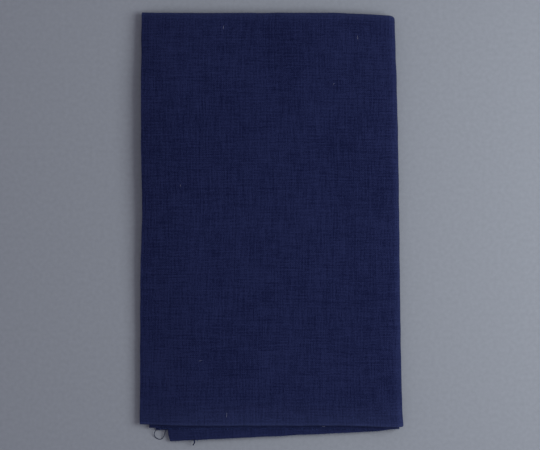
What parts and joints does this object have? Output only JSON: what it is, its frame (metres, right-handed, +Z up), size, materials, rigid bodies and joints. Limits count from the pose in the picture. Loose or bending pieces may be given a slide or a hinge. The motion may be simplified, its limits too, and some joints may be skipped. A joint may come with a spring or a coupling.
{
  "type": "tenugui towel, folded",
  "caption": "Long thin plain-weave cotton hand towel in deep indigo, folded in four along its length and once across its width.",
  "frame": {"origin": "centre of the folded towel's bounding box, on the surface that it lies on", "axes": "+X across the fold towards the bent edge, +Y along the towel away from its cut ends, +Z up"},
  "size_m": [0.16, 0.2614, 0.0089],
  "materials": {
    "indigo_cotton": "piece-dyed plain-weave cotton with slub yarns, dull, unhemmed cut ends"
  },
  "bodies": {
    "root": {"towel": "indigo_cotton"}
  },
  "joints": []
}
